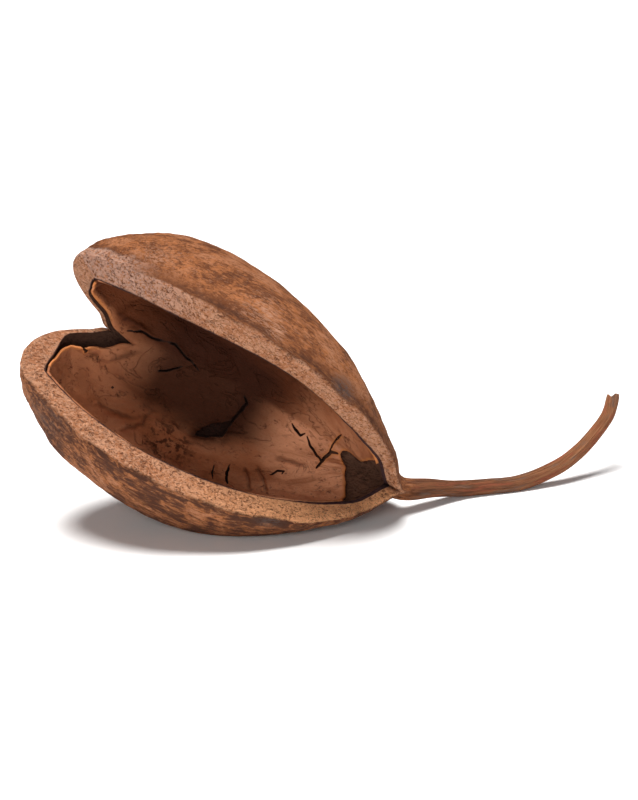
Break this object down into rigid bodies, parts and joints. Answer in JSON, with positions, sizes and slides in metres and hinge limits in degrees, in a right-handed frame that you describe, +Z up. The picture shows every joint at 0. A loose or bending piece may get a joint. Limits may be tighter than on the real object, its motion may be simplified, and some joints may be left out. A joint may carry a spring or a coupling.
{
  "type": "buddha nut pod",
  "caption": "Dried woody seed pod, split open along its front and round its tip, with thick valves, a cracked inner lining and a curved stalk, lying on its side.",
  "frame": {"origin": "centre of the object's box, on the surface it lies on", "axes": "+Z up, +X along the longest extent towards the stalk's cut end, -Y towards the open split"},
  "size_m": [0.204, 0.0851, 0.0983],
  "materials": {
    "pod_shell": "dry, matt, velvety bark-like skin with a granular corky split face",
    "inner_lining": "dry, papery, cracked, slightly smooth"
  },
  "bodies": {
    "root": {"pod_shell": "pod_shell", "inner_lining": "inner_lining"}
  },
  "joints": []
}
